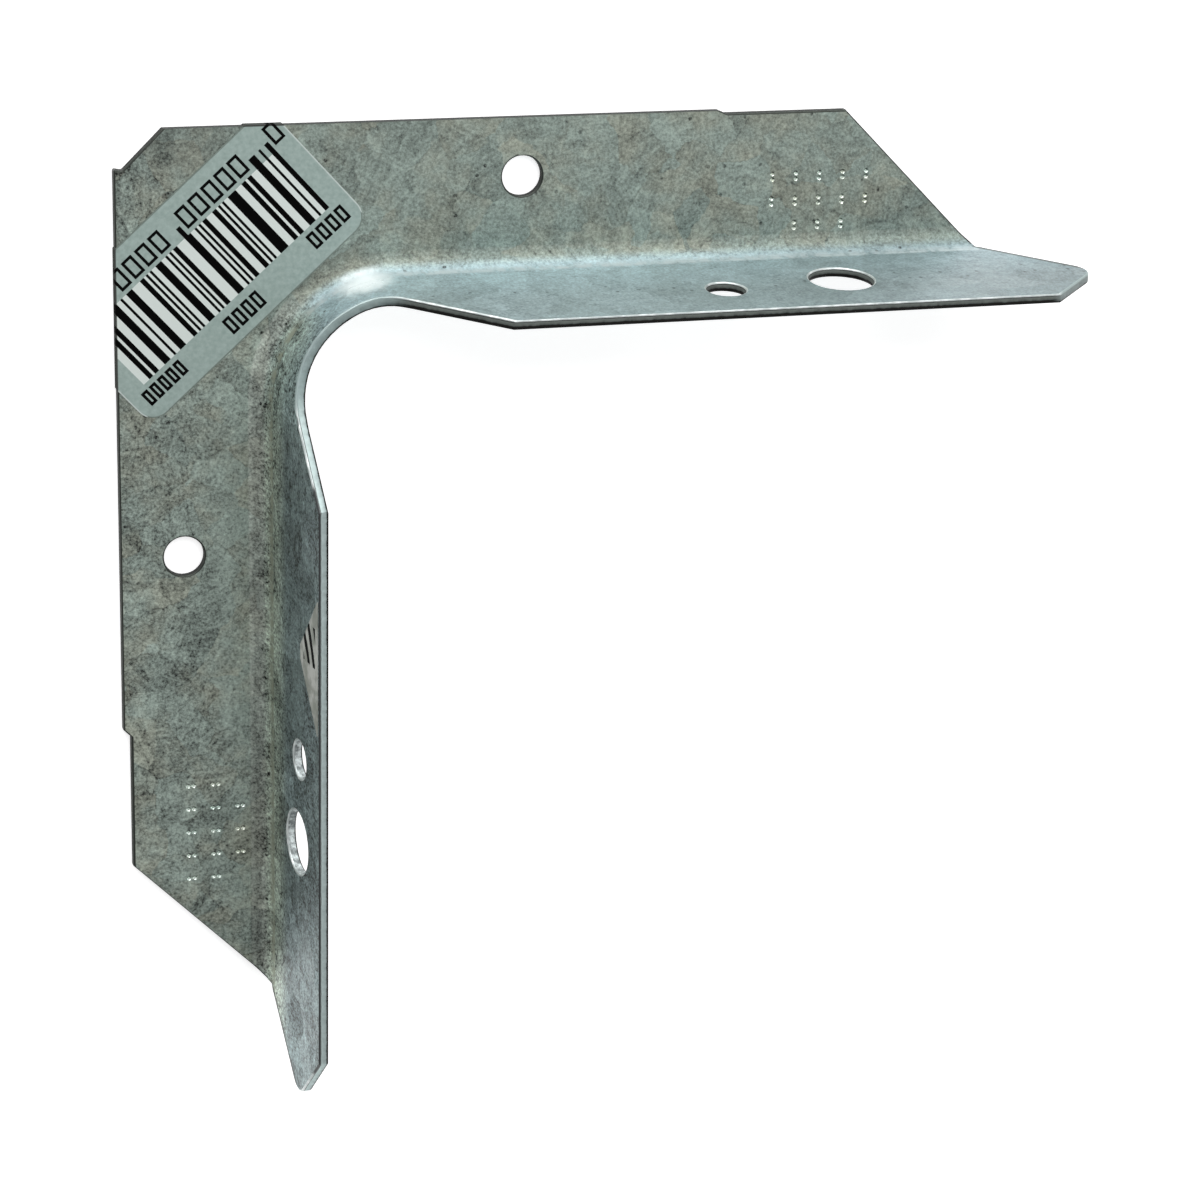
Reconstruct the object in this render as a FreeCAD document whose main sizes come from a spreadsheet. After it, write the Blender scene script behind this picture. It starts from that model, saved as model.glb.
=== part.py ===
import FreeCAD, Part
import math
import os
import Sketcher

Vector = FreeCAD.Vector
doc = FreeCAD.newDocument("timber_angle_connector")

# Sizes in millimetres and degrees. A leg's "along" runs from the inner corner to its tip, its "across" runs
# from the flange's outer face over the web, and "up" runs from the web's back along the flange.
SIZES = [
    ("thickness", "1.2"),
    ("bend_inside", "2.4"),
    ("lean", "6"),
    ("top_length", "118"),
    ("side_length", "118.1"),
    ("web_width", "18.75"),
    ("flange_height", "20.8"),
    ("corner_radius", "14"),
    ("spare", "5"),
    # Web outline: corner cut, shear steps and the cut ends
    ("corner_cut", "5.75"),
    ("spur_width", "1"),
    ("spur_rise", "1.2"),
    ("top_step_back", "16.35"),
    ("side_step_back", "17.8"),
    ("step_length", "0.9"),
    ("top_step", "0.4"),
    ("side_step", "0.9"),
    ("top_end_gap", "3.41"),
    ("side_end_gap", "2.88"),
    # Flange outline: low corner, ramps, sloped ends and tips
    ("corner_height", "9.5"),
    ("corner_lap", "0.5"),
    ("top_ramp_start", "11"),
    ("side_ramp_start", "9.5"),
    ("ramp_length", "13.1"),
    ("top_ease_radius", "7"),
    ("side_ease_radius", "18"),
    ("top_end_slope", "42"),
    ("top_tip_up", "12.78"),
    ("side_tip_up", "12.9"),
    ("tip_radius", "2.5"),
    ("bend_end_line", "0.9"),
    # Holes
    ("web_hole", "4.9"),
    ("small_hole", "4.8"),
    ("large_hole", "8"),
    ("top_web_hole_along", "30.2"),
    ("top_web_hole_across", "11.65"),
    ("side_web_hole_along", "33.1"),
    ("side_web_hole_across", "11.05"),
    ("top_small_along", "52.1"),
    ("top_small_up", "13.55"),
    ("side_small_along", "55.5"),
    ("side_small_up", "13.6"),
    ("top_large_along", "67.3"),
    ("top_large_up", "11.9"),
    ("side_large_along", "66.45"),
    ("side_large_up", "12.65"),
    # Pressed pits, each a pair of craters side by side
    ("crater_width", "0.62"),
    ("crater_depth", "0.26"),
    ("crater_floor", "0.2"),
    ("crater_pitch", "0.7"),
    ("pit_pitch", "3.05"),
    ("pit_columns", "5"),
    ("pit_short_columns", "3"),
    ("top_pit_back", "27.55"),
    ("side_pit_back", "27.75"),
    ("top_pit_across", "7.35"),
    ("side_pit_across", "7.55"),
    # Paper labels
    ("paper", "0.12"),
    ("label_length", "35.6"),
    ("label_width", "18.65"),
    ("label_radius", "2.4"),
    ("label_turn", "42.4"),
    ("label_x", "-7.8"),
    ("label_y", "2.26"),
    ("label_hem", "0.1"),
    ("tag_start", "33.5"),
    ("tag_low_start", "40.6"),
    ("tag_low_end", "42.4"),
    ("tag_end", "50.1"),
    ("tag_low", "14.35"),
    ("tag_edge_gap", "0.3"),
    # Sizes that follow from those above
    ("bend_outside", "=bend_inside + thickness"),
    ("bend_angle", "=90 - lean"),
    ("setback", "=bend_outside * tan(bend_angle / 2)"),
    ("inner_tangent_across", "=setback - bend_inside * sin(bend_angle)"),
    ("inner_tangent_up", "=bend_outside - bend_inside * cos(bend_angle)"),
    ("outer_tangent_across", "=setback - bend_outside * sin(bend_angle)"),
    ("outer_tangent_up", "=bend_outside - bend_outside * cos(bend_angle)"),
    ("free_outer_across", "=-flange_height * sin(lean)"),
    ("free_outer_up", "=flange_height * cos(lean)"),
    ("free_inner_across", "=free_outer_across + thickness * cos(lean)"),
    ("free_inner_up", "=free_outer_up + thickness * sin(lean)"),
    ("top_tip_half", "=90 - (45 + top_end_slope) / 2"),
    ("top_tip_skew", "=(45 - top_end_slope) / 2"),
    ("top_tip_reach", "=tip_radius / tan(top_tip_half)"),
    ("top_tip_point", "=top_length - web_width + tip_radius * (cos(top_tip_skew) / sin(top_tip_half) - 1)"),
    ("side_tip_point", "=side_length - web_width + tip_radius * (sqrt(2) - 1)"),
    ("top_flange_end", "=top_tip_point - top_tip_up / tan(top_end_slope)"),
    ("side_flange_end", "=side_tip_point - side_tip_up"),
    ("top_web_end", "=top_flange_end + top_end_gap"),
    ("side_web_end", "=side_flange_end + side_end_gap"),
    ("top_run", "=top_tip_point + spare"),
    ("minus_side_run", "=-side_tip_point - spare"),
    ("web_arc", "=corner_radius + setback"),
    ("minus_corner_radius", "=-corner_radius"),
    ("minus_setback", "=-setback"),
    ("minus_web_width", "=-web_width"),
    ("cut_start", "=corner_cut - web_width"),
    ("spur_top", "=web_width - corner_cut + spur_rise"),
    ("notch_x", "=spur_width - web_width"),
    ("notch_y", "=web_width - corner_cut + spur_width"),
    ("top_low_width", "=web_width - top_step"),
    ("top_corner_along", "=top_web_end - top_low_width"),
    ("top_step_at", "=top_corner_along - top_step_back"),
    ("top_step_end", "=top_step_at + step_length"),
    ("top_bend_along", "=top_web_end - setback"),
    ("side_low_x", "=side_step - web_width"),
    ("side_corner_y", "=-side_web_end - side_low_x"),
    ("side_step_y", "=side_corner_y + side_step_back"),
    ("side_step_end_y", "=side_step_y - step_length"),
    ("side_bend_y", "=setback - side_web_end"),
    ("far", "=top_length + side_length"),
    ("minus_far", "=-far"),
    ("minus_spare", "=-spare"),
    ("above", "=flange_height + spare"),
    ("corner_reach", "=2 * (corner_radius * (1 - cos(45)) + above * sin(lean) * sin(45))"),
    ("end_reach", "=2 * setback"),
    ("ramp_slope", "=atan((free_inner_up - corner_height) / ramp_length)"),
    ("top_ease", "=top_ease_radius * tan(ramp_slope / 2)"),
    ("top_ease_up", "=corner_height + top_ease * sin(ramp_slope)"),
    ("top_ease_start", "=top_ramp_start - top_ease"),
    ("top_trim_start", "=top_ease_start - corner_lap"),
    ("side_trim_reach", "=2 * top_ease_start"),
    ("top_ease_end", "=top_ramp_start + top_ease * cos(ramp_slope)"),
    ("top_ramp_end", "=top_ramp_start + ramp_length"),
    ("side_ease", "=side_ease_radius * tan(ramp_slope / 2)"),
    ("side_ease_up", "=corner_height + side_ease * sin(ramp_slope)"),
    ("side_ease_start_y", "=side_ease - side_ramp_start"),
    ("side_ease_end_y", "=-side_ramp_start - side_ease * cos(ramp_slope)"),
    ("side_ramp_end_y", "=-side_ramp_start - ramp_length"),
    ("top_end_low", "=top_flange_end - spare / tan(top_end_slope)"),
    ("side_end_low", "=spare - side_flange_end"),
    ("tip_drop", "=tip_radius * sin(45)"),
    ("top_tip_low_along", "=top_tip_point - top_tip_reach * cos(top_end_slope)"),
    ("top_tip_low", "=top_tip_up - top_tip_reach * sin(top_end_slope)"),
    ("top_tip_high_along", "=top_tip_point - top_tip_reach * cos(45)"),
    ("top_tip_high", "=top_tip_up + top_tip_reach * sin(45)"),
    ("top_tip_above", "=top_tip_point + top_tip_up - above"),
    ("side_tip_y", "=tip_drop - side_tip_point"),
    ("side_tip_low", "=side_tip_up - tip_drop"),
    ("side_tip_high", "=side_tip_up + tip_drop"),
    ("side_tip_above_y", "=above - side_tip_point - side_tip_up"),
    ("top_bend_clear", "=top_web_end - bend_end_line"),
    ("side_bend_clear", "=bend_end_line - side_web_end"),
    ("minus_bend_end_line", "=-bend_end_line"),
    ("minus_side_web_hole_across", "=-side_web_hole_across"),
    ("minus_side_web_hole_along", "=-side_web_hole_along"),
    ("minus_side_small_along", "=-side_small_along"),
    ("minus_side_large_along", "=-side_large_along"),
    ("pit_span", "=pit_pitch * (pit_columns - 1)"),
    ("pit_short_span", "=pit_pitch * (pit_short_columns - 1)"),
    ("top_pit_short_across", "=top_pit_across - pit_pitch"),
    ("top_pit_outer_across", "=top_pit_across + pit_pitch"),
    ("top_pit_along", "=top_web_end - top_pit_back"),
    ("top_pit_short", "=top_pit_along + pit_pitch"),
    ("side_pit_x", "=-side_pit_across"),
    ("side_pit_short_x", "=pit_pitch - side_pit_across"),
    ("side_pit_outer_x", "=-side_pit_across - pit_pitch"),
    ("side_pit_y", "=side_pit_back - side_web_end"),
    ("side_pit_short_y", "=side_pit_y - pit_pitch"),
    ("half_length_x", "=label_length / 2 * cos(label_turn)"),
    ("half_length_y", "=label_length / 2 * sin(label_turn)"),
    ("half_width_x", "=label_width / 2 * sin(label_turn)"),
    ("half_width_y", "=label_width / 2 * cos(label_turn)"),
    ("label_near_x", "=label_x + half_length_x + half_width_x"),
    ("label_near_y", "=label_y + half_length_y - half_width_y"),
    ("label_top_x", "=label_x + half_length_x - half_width_x"),
    ("label_top_y", "=label_y + half_length_y + half_width_y"),
    ("label_far_x", "=label_x - half_length_x - half_width_x"),
    ("label_far_y", "=label_y - half_length_y + half_width_y"),
    ("label_low_x", "=label_x - half_length_x + half_width_x"),
    ("label_low_y", "=label_y - half_length_y - half_width_y"),
    ("label_pad", "=thickness + paper - label_hem"),
    ("wrap_x", "=-web_width - paper"),
    ("wrap_y", "=web_width + paper"),
    ("tag_top", "=flange_height - tag_edge_gap"),
    ("tag_inner", "=thickness + paper"),
    ("minus_tag_start", "=-tag_start"),
    ("minus_tag_low_start", "=-tag_low_start"),
    ("minus_tag_low_end", "=-tag_low_end"),
    ("minus_tag_end", "=-tag_end"),
]

sheet = doc.addObject("Spreadsheet::Sheet", "sizes")
for row, (alias, content) in enumerate(SIZES, start=1):
    sheet.set("A%d" % row, alias)
    sheet.set("B%d" % row, content)
    sheet.setAlias("B%d" % row, alias)
doc.recompute()


def size(alias):
    return float(sheet.get(alias)) if alias else 0.0


def new_body(label):
    body = doc.addObject("PartDesign::Body", label)
    body.Label = label
    return body


def new_sketch(body, name, role, lift=None, tilt=None):
    sketch = body.newObject("Sketcher::SketchObject", name)
    plane = [item for item in body.Origin.OriginFeatures if item.Role == role][0]
    sketch.AttachmentSupport = [(plane, "")]
    sketch.MapMode = "FlatFace"
    if lift:
        sketch.setExpression("AttachmentOffset.Base.z", "sizes." + lift)
    if tilt:
        sketch.AttachmentOffset = FreeCAD.Placement(Vector(), FreeCAD.Rotation(Vector(1, 0, 0), size(tilt)))
        sketch.setExpression("AttachmentOffset.Rotation.Angle", "sizes." + tilt)
    return sketch


def bind(sketch, kind, alias, *where):
    number = sketch.addConstraint(Sketcher.Constraint(kind, *where, size(alias)))
    sketch.setExpression("Constraints[%d]" % number, "sizes." + alias)


def fix_point(sketch, curve, end, x, y):
    if x:
        bind(sketch, "DistanceX", x, -1, 1, curve, end)
    else:
        sketch.addConstraint(Sketcher.Constraint("PointOnObject", curve, end, -2))
    if y:
        bind(sketch, "DistanceY", y, -1, 1, curve, end)
    else:
        sketch.addConstraint(Sketcher.Constraint("PointOnObject", curve, end, -1))


def add_curve(sketch, start, end):
    """Adds the line or arc that leaves start for end, and returns its number and its two end numbers."""
    first = Vector(size(start[0]), size(start[1]), 0)
    last = Vector(size(end[0]), size(end[1]), 0)
    if len(start) == 2:
        return sketch.addGeometry(Part.LineSegment(first, last)), 1, 2
    radius = size(start[2])
    left = start[3] == "left"
    half = (last - first) / 2
    square = Vector(-half.y, half.x, 0) if left else Vector(half.y, -half.x, 0)
    centre = first + half + square * (math.sqrt(radius ** 2 - half.Length ** 2) / half.Length)
    begin, stop = [math.atan2(point.y - centre.y, point.x - centre.x) for point in (first, last)]
    circle = Part.Circle(centre, Vector(0, 0, 1), radius)
    ends = (begin, stop) if left else (stop, begin)
    curve = sketch.addGeometry(Part.ArcOfCircle(circle, *ends))
    bind(sketch, "Radius", start[2], curve)
    return (curve, 1, 2) if left else (curve, 2, 1)


def draw(sketch, points, closed=True):
    """Draws a chain of lines and arcs. A point is (x, y), or (x, y, radius, turn) where an arc leaves it."""
    pairs = list(zip(points, points[1:] + points[:1])) if closed else list(zip(points, points[1:]))
    curves = [add_curve(sketch, start, end) for start, end in pairs]
    for (curve, begin, stop), point in zip(curves, points):
        fix_point(sketch, curve, begin, point[0], point[1])
    if not closed:
        fix_point(sketch, curves[-1][0], curves[-1][2], points[-1][0], points[-1][1])
    following = curves[1:] + curves[:1] if closed else curves[1:]
    for before, after in zip(curves, following):
        sketch.addConstraint(Sketcher.Constraint("Coincident", before[0], before[2], after[0], after[1]))


def drill(sketch, x, y, diameter):
    circle = sketch.addGeometry(Part.Circle(Vector(size(x), size(y), 0), Vector(0, 0, 1), size(diameter) / 2))
    bind(sketch, "Diameter", diameter, circle)
    fix_point(sketch, circle, 3, x, y)


def pad(body, name, sketch, length):
    feature = body.newObject("PartDesign::Pad", name)
    feature.Profile = sketch
    feature.setExpression("Length", "sizes." + length)
    doc.recompute()
    return feature


def pocket(body, name, sketch, length=None, both=True, reverse=False):
    feature = body.newObject("PartDesign::Pocket", name)
    feature.Profile = sketch
    feature.Reversed = reverse
    if both:
        feature.SideType = "Symmetric"
    if length:
        feature.setExpression("Length", "sizes." + length)
    else:
        feature.Type = "ThroughAll"
    doc.recompute()
    return feature


# The folded sheet: web plate first, then the bend and flange swept round the inner corner
connector = new_body("angle_connector")

web_outline = new_sketch(connector, "web_outline", "XY_Plane")
draw(web_outline, [
    ("cut_start", "web_width"),
    ("top_step_at", "web_width"),
    ("top_step_end", "top_low_width"),
    ("top_corner_along", "top_low_width"),
    ("top_bend_along", "setback"),
    ("corner_radius", "setback", "web_arc", "left"),
    ("minus_setback", "minus_corner_radius"),
    ("minus_setback", "side_bend_y"),
    ("side_low_x", "side_corner_y"),
    ("side_low_x", "side_step_end_y"),
    ("minus_web_width", "side_step_y"),
    ("minus_web_width", "spur_top"),
    ("notch_x", "notch_y"),
])
pad(connector, "web", web_outline, "thickness")

bend_path = new_sketch(connector, "bend_path", "XY_Plane")
draw(bend_path, [
    ("top_run", None),
    ("corner_radius", None, "corner_radius", "left"),
    (None, "minus_corner_radius"),
    (None, "minus_side_run"),
], closed=False)

bend_section = new_sketch(connector, "bend_section", "YZ_Plane", lift="top_run")
draw(bend_section, [
    ("setback", None),
    ("setback", "thickness", "bend_inside", "right"),
    ("inner_tangent_across", "inner_tangent_up"),
    ("free_inner_across", "free_inner_up"),
    ("free_outer_across", "free_outer_up"),
    ("outer_tangent_across", "outer_tangent_up", "bend_outside", "left"),
])
doc.recompute()
flange = connector.newObject("PartDesign::AdditivePipe", "flange")
flange.Profile = bend_section
flange.Spine = (bend_path, [])
doc.recompute()

# Flange outlines: the low corner with its ramps, then the sloped ends with rounded tips
top_corner = new_sketch(connector, "top_corner", "XZ_Plane")
draw(top_corner, [
    ("top_trim_start", "corner_height"),
    ("top_ease_start", "corner_height", "top_ease_radius", "left"),
    ("top_ease_end", "top_ease_up"),
    ("top_ramp_end", "free_inner_up"),
    ("top_ramp_end", "above"),
    ("top_trim_start", "above"),
])
pocket(connector, "top_corner_trim", top_corner, "corner_reach")

side_corner = new_sketch(connector, "side_corner", "YZ_Plane")
draw(side_corner, [
    ("spare", "corner_height"),
    ("side_ease_start_y", "corner_height", "side_ease_radius", "right"),
    ("side_ease_end_y", "side_ease_up"),
    ("side_ramp_end_y", "free_inner_up"),
    ("side_ramp_end_y", "above"),
    ("spare", "above"),
])
pocket(connector, "side_corner_trim", side_corner, "side_trim_reach")

top_end = new_sketch(connector, "top_end", "XZ_Plane")
draw(top_end, [
    ("top_end_low", "minus_spare"),
    ("top_tip_low_along", "top_tip_low", "tip_radius", "left"),
    ("top_tip_high_along", "top_tip_high"),
    ("top_tip_above", "above"),
    ("far", "above"),
    ("far", "minus_spare"),
])
pocket(connector, "top_end_trim", top_end, "end_reach")

side_end = new_sketch(connector, "side_end", "YZ_Plane")
draw(side_end, [
    ("side_end_low", "minus_spare"),
    ("side_tip_y", "side_tip_low", "tip_radius", "right"),
    ("side_tip_y", "side_tip_high"),
    ("side_tip_above_y", "above"),
    ("minus_far", "above"),
    ("minus_far", "minus_spare"),
])
pocket(connector, "side_end_trim", side_end, "end_reach")

bend_ends = new_sketch(connector, "bend_ends", "XY_Plane")
draw(bend_ends, [
    ("top_bend_along", "setback"),
    ("top_bend_clear", "bend_end_line"),
    ("far", "bend_end_line"),
    ("far", "setback"),
])
draw(bend_ends, [
    ("minus_setback", "side_bend_y"),
    ("minus_bend_end_line", "side_bend_clear"),
    ("minus_bend_end_line", "minus_far"),
    ("minus_setback", "minus_far"),
])
pocket(connector, "bend_end_trim", bend_ends)

# Screw holes: one in each leg of the web, a small and a large one in each flange
web_holes = new_sketch(connector, "web_holes", "XY_Plane")
drill(web_holes, "top_web_hole_along", "top_web_hole_across", "web_hole")
drill(web_holes, "minus_side_web_hole_across", "minus_side_web_hole_along", "web_hole")
pocket(connector, "web_screw_holes", web_holes)

top_holes = new_sketch(connector, "top_holes", "XZ_Plane", tilt="lean")
drill(top_holes, "top_small_along", "top_small_up", "small_hole")
drill(top_holes, "top_large_along", "top_large_up", "large_hole")
pocket(connector, "top_flange_holes", top_holes)

side_holes = new_sketch(connector, "side_holes", "YZ_Plane", tilt="lean")
drill(side_holes, "minus_side_small_along", "side_small_up", "small_hole")
drill(side_holes, "minus_side_large_along", "side_large_up", "large_hole")
pocket(connector, "side_flange_holes", side_holes)


# Pressed pits: two full lines and one short line on each leg of the web
def crater(name, x, y):
    feature = connector.newObject("PartDesign::SubtractiveCone", name)
    plane = [item for item in connector.Origin.OriginFeatures if item.Role == "XY_Plane"][0]
    feature.AttachmentSupport = [(plane, "")]
    feature.MapMode = "FlatFace"
    feature.setExpression("AttachmentOffset.Base.x", x)
    feature.setExpression("AttachmentOffset.Base.y", y)
    feature.setExpression("AttachmentOffset.Base.z", "sizes.thickness - sizes.crater_depth")
    feature.setExpression("Radius1", "sizes.crater_floor / 2")
    feature.setExpression("Radius2", "sizes.crater_width / 2")
    feature.setExpression("Height", "sizes.crater_depth")
    doc.recompute()
    return feature


def spread(name, craters, role, back, span, count):
    pattern = connector.newObject("PartDesign::LinearPattern", name)
    axis = [item for item in connector.Origin.OriginFeatures if item.Role == role][0]
    pattern.Originals = craters
    pattern.Direction = (axis, [""])
    pattern.Reversed = back
    pattern.setExpression("Length", "sizes." + span)
    pattern.setExpression("Occurrences", "sizes." + count)
    connector.Tip = pattern
    doc.recompute()


def top_pits(name, along, across, span, count):
    low = crater(name + "_low", "sizes." + along, "sizes.%s - sizes.crater_pitch / 2" % across)
    high = crater(name + "_high", "sizes." + along, "sizes.%s + sizes.crater_pitch / 2" % across)
    spread(name, [low, high], "X_Axis", False, span, count)


def side_pits(name, x, y, span, count):
    left = crater(name + "_left", "sizes.%s - sizes.crater_pitch / 2" % x, "sizes." + y)
    right = crater(name + "_right", "sizes.%s + sizes.crater_pitch / 2" % x, "sizes." + y)
    spread(name, [left, right], "Y_Axis", True, span, count)


top_pits("top_near_pits", "top_pit_along", "top_pit_across", "pit_span", "pit_columns")
top_pits("top_outer_pits", "top_pit_along", "top_pit_outer_across", "pit_span", "pit_columns")
top_pits("top_short_pits", "top_pit_short", "top_pit_short_across", "pit_short_span", "pit_short_columns")
side_pits("side_near_pits", "side_pit_x", "side_pit_y", "pit_span", "pit_columns")
side_pits("side_outer_pits", "side_pit_outer_x", "side_pit_y", "pit_span", "pit_columns")
side_pits("side_short_pits", "side_pit_short_x", "side_pit_short_y", "pit_short_span", "pit_short_columns")

# Paper label across the outer corner of the web, folded over both outer edges
corner_label = new_body("corner_label")
label_outline = new_sketch(corner_label, "label_outline", "XY_Plane", lift="label_hem")
draw(label_outline, [
    ("label_near_x", "label_near_y"),
    ("label_top_x", "label_top_y"),
    ("label_far_x", "label_far_y"),
    ("label_low_x", "label_low_y"),
])
label_block = pad(corner_label, "label_block", label_outline, "label_pad")
rounding = corner_label.newObject("PartDesign::Fillet", "label_rounding")
upright = [
    "Edge%d" % (number + 1)
    for number, edge in enumerate(label_block.Shape.Edges)
    if edge.BoundBox.ZLength > size("label_pad") / 2
]
rounding.Base = (label_block, upright)
rounding.setExpression("Radius", "sizes.label_radius")
doc.recompute()
label_edges = new_sketch(corner_label, "label_edges", "XY_Plane")
draw(label_edges, [
    ("wrap_x", "minus_far"),
    ("wrap_x", "wrap_y"),
    ("far", "wrap_y"),
    ("far", "far"),
    ("minus_far", "far"),
    ("minus_far", "minus_far"),
])
pocket(corner_label, "label_edge_trim", label_edges)
label_room = new_sketch(corner_label, "label_room", "XY_Plane", lift="thickness")
draw(label_room, [
    ("minus_web_width", "minus_far"),
    ("far", "minus_far"),
    ("far", "web_width"),
    ("minus_web_width", "web_width"),
])
pocket(corner_label, "room_for_web", label_room, both=False)

# Paper tag on the inner face of the side flange
flange_label = new_body("flange_label")
tag_outline = new_sketch(flange_label, "tag_outline", "YZ_Plane", tilt="lean")
draw(tag_outline, [
    ("minus_tag_start", "tag_top"),
    ("minus_tag_end", "tag_top"),
    ("minus_tag_low_end", "tag_low"),
    ("minus_tag_low_start", "tag_low"),
])
tag = pad(flange_label, "tag_block", tag_outline, "tag_inner")
tag.Reversed = True
doc.recompute()
tag_room = new_sketch(flange_label, "tag_room", "YZ_Plane", tilt="lean")
draw(tag_room, [
    ("minus_far", None),
    ("spare", None),
    ("spare", "flange_height"),
    ("minus_far", "flange_height"),
])
pocket(flange_label, "room_for_flange", tag_room, "thickness", both=False)

doc.recompute()
for item in doc.Objects:
    if "Invalid" in item.State or "Error" in item.State:
        raise RuntimeError("%s did not build: %s" % (item.Name, item.State))

os.makedirs("parts", exist_ok=True)
for node in (connector, corner_label, flange_label):
    if node.Shape.isNull() or not node.Shape.isValid() or len(node.Shape.Solids) != 1:
        raise RuntimeError("%s is not one sound solid" % node.Label)
    node.Shape.exportStep("parts/%s.step" % node.Label)
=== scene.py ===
import math
from types import SimpleNamespace

import bpy
from mathutils import Matrix, Vector

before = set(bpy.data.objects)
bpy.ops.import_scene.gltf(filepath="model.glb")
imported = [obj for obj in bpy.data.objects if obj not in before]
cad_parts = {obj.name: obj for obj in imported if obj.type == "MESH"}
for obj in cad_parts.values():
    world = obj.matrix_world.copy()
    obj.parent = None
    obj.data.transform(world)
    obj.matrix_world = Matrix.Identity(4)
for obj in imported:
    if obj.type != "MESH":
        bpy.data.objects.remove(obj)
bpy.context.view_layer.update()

MM = 0.001

# The sheet's own sizes, as the model has them
THICKNESS = 1.2 * MM
LEAN = math.radians(6)
CORNER_RADIUS = 14 * MM
BEND_REACH = 3.4 * MM
BEND_CENTRE_ACROSS = 3.2415 * MM
BEND_CENTRE_HEIGHT = 3.6 * MM

# Camera at the photograph's viewing angle
CAMERA_PLACE = Vector((-86.57, 99.37, 409.82)) * MM
CAMERA_AIM = Vector((38.5, -39.36, 10)) * MM
CAMERA_ROLL = math.radians(1.46)
CAMERA_LENS = 108.44
SENSOR = 36

# Edge finish left by the shears
EDGE_ROUND = 0.2 * MM
EDGE_SEGMENTS = 2
EDGE_ANGLE = math.radians(55)
FLAT_ANGLE = math.radians(0.5)
WELD_GAP = 0.001 * MM
SLIVER_PLACE = Vector((86.1, 3.241, 0.05)) * MM
SLIVER_REACH = 0.15 * MM
SLIVER_GAP = 0.25 * MM
CUT_FACE_LIMIT = 0.5


# Short ways to add shader nodes


def new_material(name):
    material = bpy.data.materials.new(name)
    material.use_nodes = True
    return material, material.node_tree, material.node_tree.nodes["Principled BSDF"]


def put(tree, socket, value):
    """Links a node's output to a socket, or sets the socket to a plain value."""
    if isinstance(value, bpy.types.NodeSocket):
        tree.links.new(value, socket)
    else:
        socket.default_value = value


def calc(tree, operation, *values):
    node = tree.nodes.new("ShaderNodeMath")
    node.operation = operation
    for socket, value in zip(node.inputs, values):
        put(tree, socket, value)
    return node.outputs[0]


def product(tree, first, *others):
    for other in others:
        first = calc(tree, "MULTIPLY", first, other)
    return first


def total(tree, first, *others):
    for other in others:
        first = calc(tree, "ADD", first, other)
    return first


def between(tree, value, low, high):
    return product(tree, calc(tree, "GREATER_THAN", value, low), calc(tree, "LESS_THAN", value, high))


def vector_calc(tree, operation, *values):
    node = tree.nodes.new("ShaderNodeVectorMath")
    node.operation = operation
    for socket, value in zip(node.inputs, values):
        put(tree, socket, value)
    return node.outputs[1] if operation in ("LENGTH", "DOT_PRODUCT", "DISTANCE") else node.outputs[0]


def scaled(tree, vector, factor):
    node = tree.nodes.new("ShaderNodeVectorMath")
    node.operation = "SCALE"
    put(tree, node.inputs[0], vector)
    put(tree, node.inputs["Scale"], factor)
    return node.outputs[0]


def centred(tree, colour, reach):
    """A random colour as a shift of up to half of reach each way."""
    return scaled(tree, vector_calc(tree, "SUBTRACT", colour, (0.5, 0.5, 0.5)), reach)


def step(tree, value, low, high):
    """Rises smoothly from 0 to 1 as value goes from low to high."""
    node = tree.nodes.new("ShaderNodeMapRange")
    node.interpolation_type = "SMOOTHSTEP"
    put(tree, node.inputs["Value"], value)
    put(tree, node.inputs["From Min"], low)
    put(tree, node.inputs["From Max"], high)
    return node.outputs[0]


def span(tree, value, low, high):
    """Maps a 0 to 1 value onto low to high."""
    node = tree.nodes.new("ShaderNodeMapRange")
    put(tree, node.inputs["Value"], value)
    put(tree, node.inputs["To Min"], low)
    put(tree, node.inputs["To Max"], high)
    return node.outputs[0]


def noise(tree, vector, grain, detail=3.0, roughness=0.5):
    """Noise whose features are about grain metres across."""
    node = tree.nodes.new("ShaderNodeTexNoise")
    put(tree, node.inputs["Vector"], vector)
    node.inputs["Scale"].default_value = 1 / grain
    node.inputs["Detail"].default_value = detail
    node.inputs["Roughness"].default_value = roughness
    return node


def cells(tree, vector, grain, feature="F1"):
    node = tree.nodes.new("ShaderNodeTexVoronoi")
    node.feature = feature
    put(tree, node.inputs["Vector"], vector)
    node.inputs["Scale"].default_value = 1 / grain
    return node


def blend(tree, factor, first, second, mode="MIX"):
    node = tree.nodes.new("ShaderNodeMix")
    node.data_type = "RGBA"
    node.blend_type = mode
    put(tree, node.inputs[0], factor)
    put(tree, node.inputs[6], first)
    put(tree, node.inputs[7], second)
    return node.outputs[2]


def grey(tree, value):
    node = tree.nodes.new("ShaderNodeCombineColor")
    for socket in node.inputs:
        put(tree, socket, value)
    return node.outputs[0]


def shaded(tree, colour, factor):
    """A colour made lighter or darker by a factor."""
    return blend(tree, 1.0, colour, grey(tree, factor), "MULTIPLY")


def bump(tree, height, strength, distance):
    """The surface's normal, tilted by small ups and downs."""
    node = tree.nodes.new("ShaderNodeBump")
    node.inputs["Strength"].default_value = strength
    node.inputs["Distance"].default_value = distance
    put(tree, node.inputs["Height"], height)
    return node.outputs[0]


def ramp(tree, value, stops):
    """Colours by position from 0 to 1."""
    node = tree.nodes.new("ShaderNodeValToRGB")
    put(tree, node.inputs[0], value)
    elements = node.color_ramp.elements
    while len(elements) < len(stops):
        elements.new(1.0)
    for element, (position, colour) in zip(elements, stops):
        element.position = position
        element.color = (*colour, 1)
    return node.outputs[0]


def turned(tree, vector, angle):
    node = tree.nodes.new("ShaderNodeVectorRotate")
    node.rotation_type = "Z_AXIS"
    put(tree, node.inputs["Vector"], vector)
    put(tree, node.inputs["Angle"], angle)
    return node.outputs[0]


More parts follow.
